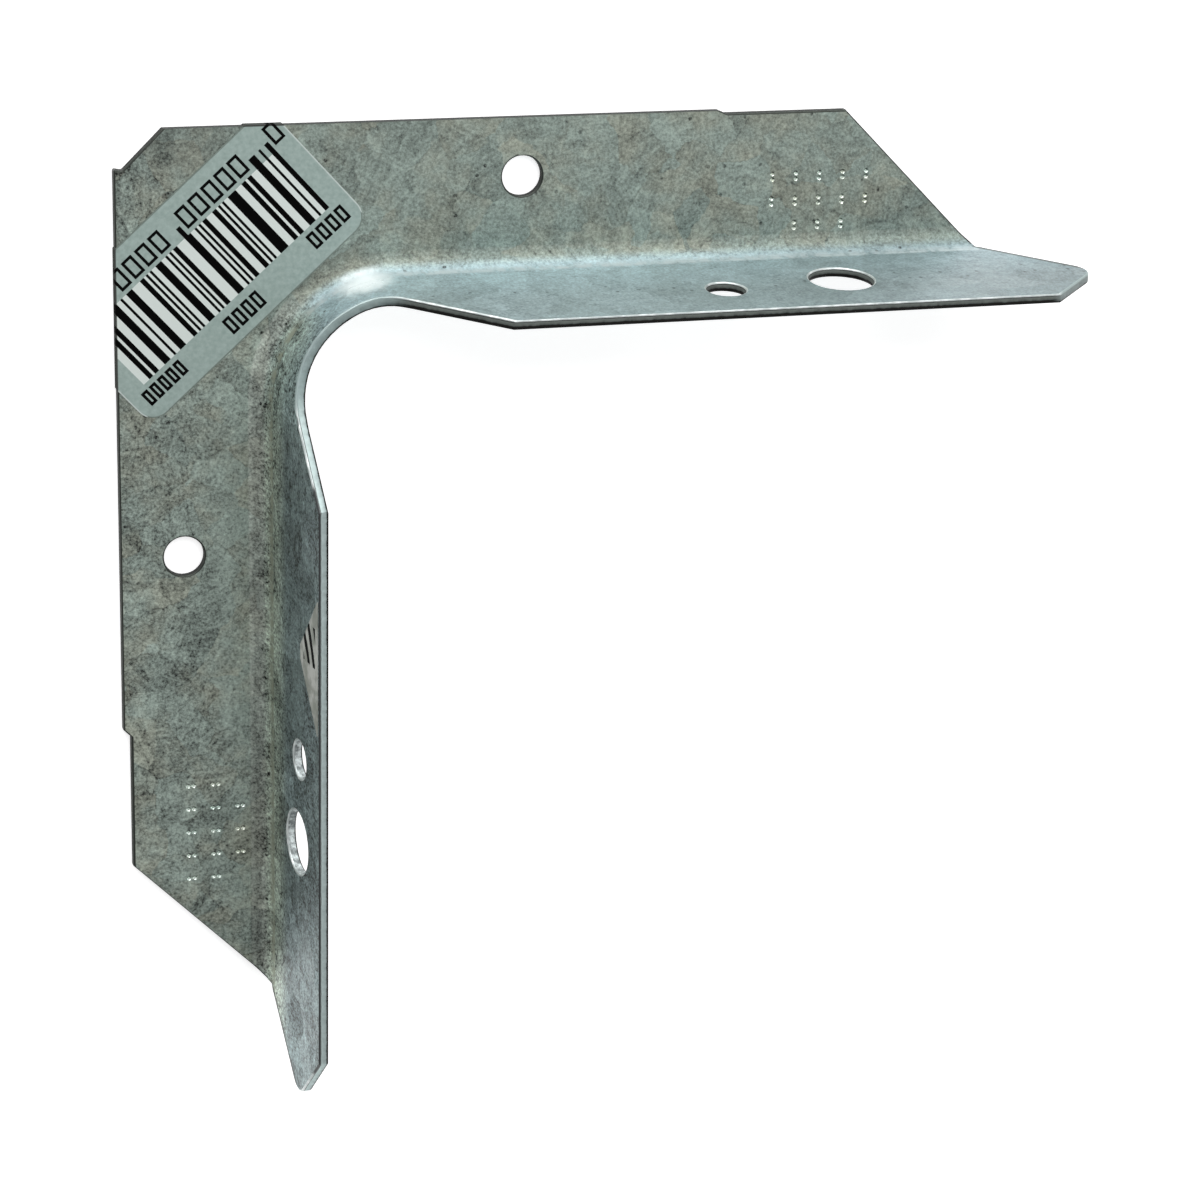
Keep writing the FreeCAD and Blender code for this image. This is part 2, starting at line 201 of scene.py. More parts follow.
def split(tree, vector):
    node = tree.nodes.new("ShaderNodeSeparateXYZ")
    put(tree, node.inputs[0], vector)
    return node.outputs


def place_on_part(tree):
    return tree.nodes.new("ShaderNodeTexCoord").outputs["Object"]


# Where a point lies on the folded sheet

# Stretches over which the flanges give way to the web, the top leg to the side leg and both to the corner
WEB_TURN = (math.radians(70), math.radians(25))
LEG_CHANGE = (4 * MM, -4 * MM)
CORNER_CHANGE = (15 * MM, 11 * MM)


def across_and_depth(tree, place):
    """Distance across the web from the flange's outer face, and depth from the sheet's back."""
    x, y, z = split(tree, place)
    left = calc(tree, "MAXIMUM", calc(tree, "SUBTRACT", CORNER_RADIUS, x), 0.0)
    low = calc(tree, "MAXIMUM", calc(tree, "ADD", CORNER_RADIUS, y), 0.0)
    radius = calc(tree, "SQRT", total(tree, product(tree, left, left), product(tree, low, low)))
    across = calc(tree, "SUBTRACT", radius, CORNER_RADIUS)
    in_flange = total(tree, product(tree, across, math.cos(LEAN)), product(tree, z, math.sin(LEAN)))
    return across, calc(tree, "MINIMUM", z, in_flange)


def sheet_place(tree):
    """Place, leg, depth and turn round the bend: 0 degrees at the web, 84 at the flange."""
    place = place_on_part(tree)
    x, y, height = split(tree, place)
    across, depth = across_and_depth(tree, place)
    over = calc(tree, "SUBTRACT", BEND_CENTRE_ACROSS, across)
    under = calc(tree, "SUBTRACT", BEND_CENTRE_HEIGHT, height)
    turn = calc(tree, "ARCTAN2", over, under)
    along = calc(tree, "MAXIMUM", x, product(tree, y, -1.0))
    return SimpleNamespace(
        place=place,
        x=x,
        y=y,
        height=height,
        along=along,
        across=across,
        depth=depth,
        turn=turn,
        web=step(tree, turn, *WEB_TURN),
        side=step(tree, calc(tree, "ADD", x, y), *LEG_CHANGE),
        corner=step(tree, calc(tree, "SUBTRACT", x, y), *CORNER_CHANGE),
    )


# Zinc-coated sheet

# Size of each part of the zinc's texture
FLAKE = 5 * MM
CHIP = 1.5 * MM
SPECK = 1.2 * MM
DRIFT = 5 * MM
STRAY = 3 * MM
FEATHER = 0.8 * MM
GRAIN = 0.33 * MM
SCRATCH = 0.45 * MM
STAIN = 6 * MM
RUB = 1.1 * MM
SCRATCH_ANGLE = math.radians(28)

# Surface finish
ZINC_METALLIC = 0.6
BUMP_STRENGTH = 0.55
BUMP_HEIGHT = 0.04 * MM
FLAKE_TILT = 0.08
CHIP_TILT = 0.05

# Tones of the web, the flanges and the bend, with painted light and shade on the flanges and bends, a
# painted highlight in the inner corner and a painted shade line at the flanges' ends
WEB_CLEAN = (0.242, 0.293, 0.262, 1)
WEB_STAINED = (0.268, 0.278, 0.225, 1)
TOP_FOOT_PAINTED_LIGHT = (0.335, 0.44, 0.465, 1)
TOP_FIELD_PAINTED_REFLECTION = (0.252, 0.319, 0.329, 1)
TOP_POLISH_AND_HIGHLIGHT = (0.54, 0.615, 0.625, 1)
SIDE_FOOT_PAINTED_LIGHT = (0.45, 0.525, 0.45, 1)
SIDE_FIELD_PAINTED_SHADE = (0.196, 0.25, 0.253, 1)
SIDE_BEND_PAINTED_LIGHT = (0.42, 0.45, 0.41, 1)
SIDE_POLISH_AND_HIGHLIGHT = (0.4, 0.43, 0.34, 1)
CORNER_PAINTED_LIGHT = (0.35, 0.445, 0.425, 1)
CORNER_HIGHLIGHT_TONE = (0.72, 0.79, 0.79, 1)
END_PAINTED_SHADE = (0.05, 0.055, 0.052, 1)

# Stretches over which the flanges' tones and their painted light and shade change, and by how much
TOP_RISE = (5 * MM, 15 * MM)
TOP_RUN = (30 * MM, 98 * MM)
TOP_FADE = (1.2, 0.77)
SIDE_RISE = (4.5 * MM, 9.5 * MM)
SIDE_RUN = (-25 * MM, -85 * MM)
SIDE_LIFT = (0.92, 1.1)
DIP_START = (-62 * MM, -70 * MM)
DIP_END = (-92 * MM, -80 * MM)
DIP_DEPTH = 0.18
PALE_START = (-3 * MM, -7 * MM)
PALE_END = (-20 * MM, -9 * MM)
PALE_SHARE = 0.6

# Turn round the bend where it starts, is rubbed bright with a painted highlight, and ends
BEND_RISE = (math.radians(2), math.radians(15))
BURNISH_AND_HIGHLIGHT_RISE = (math.radians(52), math.radians(88))
BEND_FALL = (math.radians(105), math.radians(90))

# Painted light on the web beside the bend: where it starts on the top and the side leg, and where it is full
LIT_STRIP_START = (5 * MM, 9 * MM)
LIT_STRIP_FULL = 3.6 * MM

# Heights of the pits' rims and floors, where the web is flat, and the painted shade and light of their walls
PIT_RIM = (1.19 * MM, 1.14 * MM)
PIT_FLOOR = (0.85 * MM, 0.93 * MM)
FLAT_WEB = (3.4 * MM, 3.7 * MM)
PIT_PAINTED_SHADES = (-0.6, 3.0)

# Dark outer corner of the web, and a painted highlight in the inner corner
OUTER_CORNER = Vector((-18.75, 18.75, 1.2)) * MM
OUTER_FADE = (14 * MM, 5 * MM)
CORNER_HIGHLIGHT_PLACE = Vector((10.3, 0.0, 4.3)) * MM
CORNER_HIGHLIGHT_FADE = (4.6 * MM, 0.8 * MM)
CORNER_HIGHLIGHT_RAGGEDNESS = (-1.5 * MM, 1.5 * MM)

# Foot and slope of each flange's sloped end, and the line of painted shade along it
TOP_END = (86.0 * MM, math.radians(42))
SIDE_END = (87.49 * MM, math.radians(45))
END_SHADE_LINE = (0.85 * MM, 0.55 * MM)
END_SHADE_SHARE = 0.8


def specks(tree, place):
    """Small dark dots, one in about every seventh cell."""
    cell = cells(tree, place, SPECK)
    chance = split(tree, cell.outputs["Color"])[1]
    return product(tree, step(tree, cell.outputs["Distance"], 0.26, 0.12), step(tree, chance, 0.8, 0.9))


def scratches(tree, place):
    """Fine scratches, all one way."""
    scored = vector_calc(tree, "MULTIPLY", turned(tree, place, SCRATCH_ANGLE), (0.05, 1.0, 1.0))
    return step(tree, noise(tree, scored, SCRATCH, 2.0).outputs["Fac"], 0.62, 0.72)


def seams(tree, strayed, drift):
    """Thin lines along some of the flakes' borders."""
    border = cells(tree, strayed, FLAKE, "DISTANCE_TO_EDGE").outputs["Distance"]
    return product(tree, step(tree, border, 0.03, 0.012), step(tree, split(tree, drift)[1], 0.5, 0.6))


def zinc_texture(tree, place):
    """The zinc's flakes with their seams, feathered grain, scratches and specks."""
    drift = noise(tree, place, DRIFT, 3.0, 0.6).outputs["Color"]
    strayed = vector_calc(tree, "ADD", place, centred(tree, drift, STRAY))
    flake = cells(tree, strayed, FLAKE).outputs["Color"]
    chip = cells(tree, strayed, CHIP).outputs["Color"]
    flake_red, flake_green, flake_blue = split(tree, flake)
    along_flake = turned(tree, place, product(tree, flake_blue, math.tau))
    feathered = vector_calc(tree, "MULTIPLY", along_flake, (0.2, 1.3, 1.0))
    feather = noise(tree, feathered, FEATHER, 3.0, 0.6).outputs["Fac"]
    grain = noise(tree, place, GRAIN, 3.0, 0.72).outputs["Fac"]
    tone = total(
        tree,
        span(tree, flake_red, -0.13, 0.13),
        span(tree, split(tree, chip)[0], -0.11, 0.11),
        span(tree, feather, -0.5, 0.5),
        span(tree, grain, -1.15, 1.15),
        product(tree, scratches(tree, place), 0.15),
        product(tree, seams(tree, strayed, drift), -0.18),
    )
    speck = specks(tree, place)
    return SimpleNamespace(flake=flake, chip=chip, green=flake_green, grain=grain, tone=tone, speck=speck)


def web_tint(tree, at, zinc):
    """Grey-green with warm stains."""
    cloud = noise(tree, at.place, STAIN, 4.0, 0.6).outputs["Fac"]
    warm = total(tree, product(tree, cloud, 0.75), product(tree, zinc.green, 0.25))
    stain = product(tree, step(tree, warm, 0.4, 0.68), 0.7)
    return blend(tree, stain, WEB_CLEAN, WEB_STAINED)


def top_painted_light(tree, at):
    """Painted light: a bluish painted reflection, lighter at the foot by the bend, darker towards the free
    edge and the tip.
    """
    tint = blend(tree, step(tree, at.height, *TOP_RISE), TOP_FOOT_PAINTED_LIGHT, TOP_FIELD_PAINTED_REFLECTION)
    return shaded(tree, tint, span(tree, step(tree, at.x, *TOP_RUN), *TOP_FADE))


def side_painted_shade(tree, at):
    """Painted shade: dark where the flange faces away from the light; painted light at its foot, towards its
    tip and by the inner corner; dimmer from the large hole on.
    """
    tint = blend(tree, step(tree, at.height, *SIDE_RISE), SIDE_FOOT_PAINTED_LIGHT, SIDE_FIELD_PAINTED_SHADE)
    lift = span(tree, step(tree, at.y, *SIDE_RUN), *SIDE_LIFT)
    dip = product(tree, step(tree, at.y, *DIP_START), step(tree, at.y, *DIP_END), DIP_DEPTH)
    tint = shaded(tree, tint, calc(tree, "SUBTRACT", lift, dip))
    by_corner = product(tree, step(tree, at.y, *PALE_END), step(tree, at.y, *PALE_START), PALE_SHARE)
    return blend(tree, by_corner, tint, CORNER_PAINTED_LIGHT)


def sheet_tint(tree, at, zinc):
    """Main colours of the web, both flanges and the side leg's bend; the flanges carry painted light and
    shade, the side leg's bend painted light.
    """
    flange = blend(tree, at.side, top_painted_light(tree, at), side_painted_shade(tree, at))
    tint = blend(tree, at.web, flange, web_tint(tree, at, zinc))
    # Painted light on the side leg's bend, from the web to about 50 degrees round.
    side_bend_light = product(tree, at.side, step(tree, at.turn, -0.05, 0.1), step(tree, at.turn, 1.0, 0.7), 0.45)
    return blend(tree, side_bend_light, tint, SIDE_BEND_PAINTED_LIGHT)


def painted_pit_light_and_shade(tree, at):
    """Painted light on the walls of the pits that face along +Y, painted shade on those that face away."""
    wall = product(
        tree,
        step(tree, at.height, *PIT_RIM),
        step(tree, at.height, *PIT_FLOOR),
        step(tree, at.across, *FLAT_WEB),
    )
    facing = split(tree, tree.nodes.new("ShaderNodeTexCoord").outputs["Normal"])[1]
    return product(tree, wall, span(tree, step(tree, facing, -0.12, 0.12), *PIT_PAINTED_SHADES))


def sheet_shade(tree, at, zinc):
    """How light the sheet is against its main colour, with painted light beside the bend and painted light
    and shade on the pits' walls.
    """
    vigour = span(tree, at.web, span(tree, at.side, 0.65, 2.2), span(tree, at.side, 1.0, 1.5))
    inner_face = step(tree, at.depth, 0.3 * THICKNESS, 0.7 * THICKNESS)
    vigour = span(tree, inner_face, 0.6, vigour)
    lit_strip = step(tree, at.across, span(tree, at.side, *LIT_STRIP_START), LIT_STRIP_FULL)
    light_by_bend = product(tree, lit_strip, step(tree, at.turn, 0.35, 0.1), span(tree, at.side, 0.05, 0.3))
    to_corner = vector_calc(tree, "DISTANCE", at.place, OUTER_CORNER)
    return total(
        tree,
        1.0,
        product(tree, zinc.tone, vigour),
        light_by_bend,
        product(tree, step(tree, to_corner, *OUTER_FADE), -0.38),
        painted_pit_light_and_shade(tree, at),
        product(tree, zinc.speck, -0.6),
    )


def painted_corner_highlight(tree, at, rub):
    """The painted highlight in the inner corner: 1 at its middle."""
    away = vector_calc(tree, "DISTANCE", at.place, CORNER_HIGHLIGHT_PLACE)
    away = total(tree, away, span(tree, rub, *CORNER_HIGHLIGHT_RAGGEDNESS))
    return product(tree, step(tree, away, *CORNER_HIGHLIGHT_FADE), step(tree, at.turn, 0.5, 0.9))


def inside_slope(tree, along, height, foot, slope):
    """How far a point of a flange lies inside its sloped end."""
    rise = product(tree, height, math.cos(slope))
    return calc(tree, "SUBTRACT", rise, product(tree, calc(tree, "SUBTRACT", along, foot), math.sin(slope)))


def painted_end_shade(tree, at):
    """1 along the flanges' sloped ends, where a dark line of painted shade runs."""
    top_gap = inside_slope(tree, at.x, at.height, *TOP_END)
    side_gap = inside_slope(tree, product(tree, at.y, -1.0), at.height, *SIDE_END)
    gap = span(tree, at.side, top_gap, side_gap)
    return product(tree, step(tree, gap, *END_SHADE_LINE), step(tree, at.turn, 1.0, 1.3))


def galvanised_material():
    """Zinc-coated sheet: flakes, stains and specks on the web, a rubbed bend with a painted highlight,
    smoother flanges with painted light and shade, and a painted highlight in the inner corner.
    """
    material, tree, shader = new_material("galvanised_sheet")
    at = sheet_place(tree)
    zinc = zinc_texture(tree, at.place)
    drawn_up = vector_calc(tree, "MULTIPLY", at.place, (1.0, 1.0, 0.6))
    rub = noise(tree, drawn_up, RUB, 4.0, 0.65).outputs["Fac"]
    highlight_mask = painted_corner_highlight(tree, at, rub)
    bend_fall = step(tree, at.turn, *BEND_FALL)
    # Rubbed zinc and painted highlight: lighter along the bend near the flange, in ragged patches.
    burnish_and_highlight = product(tree, step(tree, at.turn, *BURNISH_AND_HIGHLIGHT_RISE), bend_fall, step(tree, rub, 0.3, 0.6))
    colour = shaded(tree, sheet_tint(tree, at, zinc), sheet_shade(tree, at, zinc))
    colour = blend(tree, burnish_and_highlight, colour, blend(tree, at.side, TOP_POLISH_AND_HIGHLIGHT, SIDE_POLISH_AND_HIGHLIGHT))
    colour = blend(tree, product(tree, painted_end_shade(tree, at), END_SHADE_SHARE), colour, END_PAINTED_SHADE)
    put(tree, shader.inputs["Base Color"], blend(tree, highlight_mask, colour, CORNER_HIGHLIGHT_TONE))

    rough = total(
        tree,
        span(tree, zinc.green, 0.38, 0.48),
        span(tree, zinc.grain, -0.06, 0.06),
        product(tree, step(tree, at.turn, *BEND_RISE), bend_fall, 0.17),
        product(tree, highlight_mask, -0.2),
    )
    put(tree, shader.inputs["Roughness"], rough)
    put(tree, shader.inputs["Metallic"], span(tree, highlight_mask, ZINC_METALLIC, 0.0))

    tilted = bump(tree, calc(tree, "SUBTRACT", zinc.grain, zinc.speck), BUMP_STRENGTH, BUMP_HEIGHT)
    tilted = vector_calc(tree, "ADD", tilted, centred(tree, zinc.flake, FLAKE_TILT))
    tilted = vector_calc(tree, "ADD", tilted, centred(tree, zinc.chip, CHIP_TILT))
    put(tree, shader.inputs["Normal"], vector_calc(tree, "NORMALIZE", tilted))
    return material


# Cut edges

# Tones of a cut, from the sheet's back (0) to its front (1): the cut's own bands, with a painted shade line
# along the back and a painted highlight line along the front
TOP_CUT = (
    (0.0, (0.012, 0.012, 0.011)),
    (0.36, (0.015, 0.015, 0.014)),
    (0.46, (0.135, 0.152, 0.142)),
    (0.72, (0.19, 0.215, 0.2)),
    (0.8, (0.03, 0.03, 0.028)),
    (0.92, (0.5, 0.53, 0.52)),
)
SIDE_CUT = (
    (0.0, (0.02, 0.02, 0.02)),
    (0.16, (0.025, 0.026, 0.026)),
    (0.26, (0.38, 0.455, 0.45)),
    (0.72, (0.47, 0.56, 0.55)),
    (0.8, (0.07, 0.075, 0.075)),
    (0.93, (0.5, 0.53, 0.52)),
)
CORNER_CUT = (
    (0.0, (0.012, 0.012, 0.012)),
    (0.14, (0.016, 0.017, 0.016)),
    (0.24, (0.32, 0.4, 0.395)),
    (1.0, (0.4, 0.5, 0.495)),
)
TIP_CUT = (
    (0.0, (0.015, 0.015, 0.015)),
    (0.16, (0.02, 0.021, 0.02)),
    (0.26, (0.27, 0.31, 0.305)),
    (1.0, (0.3, 0.35, 0.345)),
)
WEB_CUT_PAINTED_SHADE = (
    (0.0, (0.012, 0.013, 0.012)),
    (0.5, (0.014, 0.015, 0.014)),
    (0.75, (0.03, 0.033, 0.03)),
)
# Side hole walls: dull, with painted highlight patches; the side chamfer's cut lifted by painted light
HOLE_DULL = (0.27, 0.3, 0.3, 1)
HOLE_PAINTED_HIGHLIGHT = (0.72, 0.78, 0.78, 1)
CORNER_DIMMING = (0.85, 0.7)
CHAMFER_PAINTED_LIGHT = 1.6
TEAR = 0.9 * MM
TEAR_STRENGTH = 0.4
TEAR_HEIGHT = 0.05 * MM

# Stretches of the cut edges: the top tip, the corner, the side holes, the side tip's chamfer and the web
TOP_TIP = (91 * MM, 93 * MM)
CORNER_RUN = (-2 * MM, -7 * MM)
HOLE_RUN = (-73 * MM, -51 * MM)
HOLE_RISE = (5 * MM, 18 * MM)
CHAMFER_RUN = (-92 * MM, -93 * MM)
WEB_RISE = (1.6 * MM, 1.3 * MM)


def round_top_tip(tree, at):
    """1 round the tip of the top flange."""
    return product(tree, step(tree, at.x, *TOP_TIP), calc(tree, "SUBTRACT", 1.0, at.side))


def cut_tone(tree, at, tear):
    """Colour of each cut, by how deep a point lies in the sheet, with painted shade on the web's edges,
    painted light on the side chamfer and painted highlights on the side holes' walls.
    """
    level = total(tree, calc(tree, "DIVIDE", at.depth, THICKNESS), span(tree, tear, -0.12, 0.12))
    tone = blend(tree, at.side, ramp(tree, level, TOP_CUT), ramp(tree, level, SIDE_CUT))
    tone = blend(tree, round_top_tip(tree, at), tone, ramp(tree, level, TIP_CUT))
    dimming = span(tree, step(tree, at.y, *CORNER_RUN), *CORNER_DIMMING)
    tone = blend(tree, at.corner, tone, shaded(tree, ramp(tree, level, CORNER_CUT), dimming))
    in_hole = product(tree, between(tree, at.y, *HOLE_RUN), between(tree, at.height, *HOLE_RISE), at.side)
    hole = blend(tree, step(tree, tear, 0.4, 0.62), HOLE_DULL, HOLE_PAINTED_HIGHLIGHT)
    tone = blend(tree, in_hole, tone, hole)
    at_chamfer = product(tree, step(tree, at.y, *CHAMFER_RUN), at.side)
    tone = shaded(tree, tone, span(tree, at_chamfer, 1.0, CHAMFER_PAINTED_LIGHT))
    tone = blend(tree, step(tree, at.height, *WEB_RISE), tone, ramp(tree, level, WEB_CUT_PAINTED_SHADE))
    return shaded(tree, tone, span(tree, tear, 0.7, 1.3))


def cut_edge_material():
    """Sheared steel: a smooth strip where the blade went in, dark and torn where the sheet broke away, with
    painted shade and painted highlights on top.
    """
    material, tree, shader = new_material("sheared_edge")
    at = sheet_place(tree)
    tear = noise(tree, at.place, TEAR, 4.0, 0.65).outputs["Fac"]
    put(tree, shader.inputs["Base Color"], cut_tone(tree, at, tear))
    put(tree, shader.inputs["Roughness"], span(tree, tear, 0.75, 0.5))
    put(tree, shader.inputs["Normal"], bump(tree, tear, TEAR_STRENGTH, TEAR_HEIGHT))
    shader.inputs["Metallic"].default_value = 0.5
    shader.inputs["Specular IOR Level"].default_value = 0.15
    return material


# Tones of the rounded arris between a face and a cut: painted highlights, painted shade lines and duller
# tones
DULL_ARRIS = (0.5, 0.555, 0.55, 1)
ARRIS_PAINTED_HIGHLIGHT = (0.84, 0.89, 0.88, 1)
BACK_ARRIS_PAINTED_SHADE = (0.012, 0.013, 0.012, 1)
WEB_ARRIS_PAINTED_SHADE = (0.05, 0.056, 0.05, 1)
END_ARRIS_PAINTED_SHADE = (0.035, 0.038, 0.036, 1)
SIDE_ARRIS_PAINTED_SHADE = (0.06, 0.066, 0.066, 1)
SOFT_ARRIS = (0.3, 0.37, 0.365, 1)
ARRIS_PATCH = 1.6 * MM

# Stretches of the arris: at the free edges, at the legs' ends and on the web
FREE_EDGE = (18 * MM, 19 * MM)
END_RUN = (85 * MM, 86 * MM)
END_RISE = (12.5 * MM, 11.5 * MM)
ARRIS_FOOT = (2.2 * MM, 1.3 * MM)


def front_arris_tone(tree, at, patch):
    """Colour of the arris on the sheet's front: dull zinc with painted highlight patches, painted shade
    lines on the side flange's free edge, the legs' sloped ends and the web, and a softer tone at the corner
    and the top tip.
    """
    tone = blend(tree, step(tree, patch, 0.35, 0.7), DULL_ARRIS, ARRIS_PAINTED_HIGHLIGHT)
    side_edge = product(tree, step(tree, at.height, *FREE_EDGE), at.side)
    tone = blend(tree, side_edge, tone, SIDE_ARRIS_PAINTED_SHADE)
    tone = blend(tree, calc(tree, "MAXIMUM", at.corner, round_top_tip(tree, at)), tone, SOFT_ARRIS)
    at_end = product(tree, step(tree, at.along, *END_RUN), step(tree, at.height, *END_RISE))
    tone = blend(tree, at_end, tone, END_ARRIS_PAINTED_SHADE)
    return blend(tree, step(tree, at.height, *ARRIS_FOOT), tone, WEB_ARRIS_PAINTED_SHADE)


def arris_wear_and_light_material():
    """The arris: zinc rubbed bright with painted highlights along the top flange and the holes, dull at the
    corner, painted shade lines elsewhere and along the back.
    """
    material, tree, shader = new_material("arris_wear_and_painted_light")
    at = sheet_place(tree)
    patch = noise(tree, at.place, ARRIS_PATCH, 3.0).outputs["Fac"]
    on_front = step(tree, at.depth, 0.5 * THICKNESS, 0.8 * THICKNESS)
    tone = blend(tree, on_front, BACK_ARRIS_PAINTED_SHADE, front_arris_tone(tree, at, patch))
    put(tree, shader.inputs["Base Color"], tone)
    put(tree, shader.inputs["Roughness"], span(tree, patch, 0.48, 0.34))
    shader.inputs["Metallic"].default_value = 0.7
    shader.inputs["Specular IOR Level"].default_value = 0.2
    return material


# Paper labels

LABEL_CENTRE = Vector((-7.8, 2.26)) * MM
LABEL_TURN = math.radians(42.4)
LABEL_HALF = Vector((17.8, 9.325)) * MM
LABEL_ROUND = 2.4 * MM
FOLD_LINE = (18.62 * MM, 18.74 * MM)
RIM_REACH = (0.2 * MM, 0.1 * MM)
SHORT_END = (LABEL_HALF.x - 0.4 * MM, LABEL_HALF.x - 0.3 * MM)
FIBRE = 0.5 * MM

# Tones of the label
INK = (0.002, 0.002, 0.002, 1)
PAPER_DARK = (0.23, 0.3, 0.275, 1)
PAPER_LIGHT = (0.415, 0.51, 0.483, 1)
PAPER_FIELD = (0.66, 0.72, 0.69, 1)
# Painted shade round the rim and over the fold, painted highlight at the short ends
RIM_PAINTED_SHADE = (0.1, 0.11, 0.09, 1)
RIM_PAINTED_HIGHLIGHT = (0.66, 0.71, 0.69, 1)
RIM_SHARE = 0.6
FOLD_PAINTED_SHADE = (0.06, 0.064, 0.06, 1)

# The label's bars
BAR_MODULE = 0.315 * MM
BAR_SPAN = (-15.1 * MM, 15.1 * MM)
BAR_RISE = (-4.9 * MM, 4.5 * MM)
BAR_WAVES = (4.7, 2.5, 7.5)
TALL_BARS = ((-0.3 * MM, 0.9 * MM), (11.9 * MM, 15.1 * MM))
TALL_RISE = (-4.9 * MM, 6.0 * MM)
BOX_STROKE = 0.36 * MM
BOX_SHARE = 0.76

# Rows of boxes: low and high side, start, pitch and number
BOX_ROWS = (
    (5.0 * MM, 7.6 * MM, -9.2 * MM, 2.1 * MM, 4),
    (5.0 * MM, 7.6 * MM, 1.4 * MM, 2.1 * MM, 5),
    (5.0 * MM, 7.6 * MM, 15.5 * MM, 2.1 * MM, 1),
    (-7.5 * MM, -5.5 * MM, -16.2 * MM, 1.27 * MM, 5),
    (-8.1 * MM, -5.9 * MM, -3.4 * MM, 1.45 * MM, 4),
    (-7.6 * MM, -5.5 * MM, 10.6 * MM, 1.5 * MM, 4),
)

# The torn tag: its creases, strokes, where they are printed and its tones
TAG_CREASE = 2.2 * MM
TAG_WAVER = (-0.5 * MM, 0.5 * MM)
TAG_STROKE = 2.3 * MM
TAG_RUN = (-42 * MM, -37 * MM)
TAG_RISE = (15.6 * MM, 19.8 * MM)
TAG_DARK = (0.34, 0.36, 0.32, 1)
TAG_LIGHT = (0.62, 0.64, 0.6, 1)


def label_place(tree):
    """Place along and across the label, from its middle."""
    x, y, _ = split(tree, place_on_part(tree))
    east = calc(tree, "SUBTRACT", x, LABEL_CENTRE.x)
    north = calc(tree, "SUBTRACT", y, LABEL_CENTRE.y)
    cos, sin = math.cos(LABEL_TURN), math.sin(LABEL_TURN)
    along = total(tree, product(tree, east, cos), product(tree, north, sin))
    over = calc(tree, "SUBTRACT", product(tree, north, cos), product(tree, east, sin))
    return along, over


def bars(tree, along):
    """Bars and gaps of one to four modules, where waves of unlike length add up."""
    count = calc(tree, "FLOOR", calc(tree, "DIVIDE", along, BAR_MODULE))
    waves = [calc(tree, "SINE", product(tree, count, math.tau / modules)) for modules in BAR_WAVES]
    return calc(tree, "GREATER_THAN", total(tree, *waves), 0.0)


def boxes(tree, along, over, low, high, start, pitch, count):
    """A row of plain outlined boxes."""
    wide = pitch * BOX_SHARE
    cell = calc(tree, "MODULO", calc(tree, "SUBTRACT", along, start), pitch)
    from_middle = calc(tree, "ABSOLUTE", calc(tree, "SUBTRACT", cell, wide / 2))
    from_centre = calc(tree, "ABSOLUTE", calc(tree, "SUBTRACT", over, (low + high) / 2))
    to_side = calc(tree, "SUBTRACT", wide / 2, from_middle)
    to_end = calc(tree, "SUBTRACT", (high - low) / 2, from_centre)
    inside = calc(tree, "MINIMUM", to_side, to_end)
    row = between(tree, along, start, start + pitch * count)
    return product(tree, between(tree, inside, 0.0, BOX_STROKE), row)


def label_edge(tree, along, over):
    """Distance inside the label's rounded outline."""
    out_along = calc(tree, "SUBTRACT", calc(tree, "ABSOLUTE", along), LABEL_HALF.x - LABEL_ROUND)
    out_over = calc(tree, "SUBTRACT", calc(tree, "ABSOLUTE", over), LABEL_HALF.y - LABEL_ROUND)
    past_along = calc(tree, "MAXIMUM", out_along, 0.0)
    past_over = calc(tree, "MAXIMUM", out_over, 0.0)
    past = total(tree, product(tree, past_along, past_along), product(tree, past_over, past_over))
    inner = calc(tree, "MINIMUM", calc(tree, "MAXIMUM", out_along, out_over), 0.0)
    return calc(tree, "SUBTRACT", LABEL_ROUND, total(tree, calc(tree, "SQRT", past), inner))


def folded_over(tree):
    """1 where the paper turns down over the web's two outer edges."""
    x, y, _ = split(tree, place_on_part(tree))
    outermost = calc(tree, "MAXIMUM", y, product(tree, x, -1.0))
    return step(tree, outermost, *FOLD_LINE)


def label_ink(tree, along, over, field):
    """Bars on the field, a few of them taller, and rows of boxes."""
    printed = field
    for reach in TALL_BARS:
        tall = product(tree, between(tree, along, *reach), between(tree, over, *TALL_RISE))
        printed = calc(tree, "MAXIMUM", printed, tall)
    ink = product(tree, bars(tree, along), printed)
    for row in BOX_ROWS:
        ink = calc(tree, "MAXIMUM", ink, boxes(tree, along, over, *row))
    return ink


def label_paper(tree, along, over, field, fibre):
    """Green-grey paper, lighter behind the bars, with a painted shade line round its rim, a painted
    highlight line at its short ends, and painted shade where it turns down over the web's outer edges.
    """
    paper = blend(tree, field, blend(tree, fibre, PAPER_DARK, PAPER_LIGHT), PAPER_FIELD)
    rim = step(tree, label_edge(tree, along, over), *RIM_REACH)
    short_end = step(tree, calc(tree, "ABSOLUTE", along), *SHORT_END)
    rim_tone = blend(tree, short_end, RIM_PAINTED_SHADE, RIM_PAINTED_HIGHLIGHT)
    paper = blend(tree, product(tree, rim, RIM_SHARE), paper, rim_tone)
    return blend(tree, folded_over(tree), paper, FOLD_PAINTED_SHADE)


def label_material():
    """Matt paper, printed with bars and boxes that say nothing."""
    material, tree, shader = new_material("printed_label")
    along, over = label_place(tree)
    field = product(tree, between(tree, along, *BAR_SPAN), between(tree, over, *BAR_RISE))
    fibre = noise(tree, place_on_part(tree), FIBRE, 3.0).outputs["Fac"]
    ink = label_ink(tree, along, over, field)
    paper = label_paper(tree, along, over, field, fibre)
    put(tree, shader.inputs["Base Color"], blend(tree, ink, paper, INK))
    put(tree, shader.inputs["Roughness"], span(tree, fibre, 0.75, 0.9))
    shader.inputs["Specular IOR Level"].default_value = 0.03
    return material


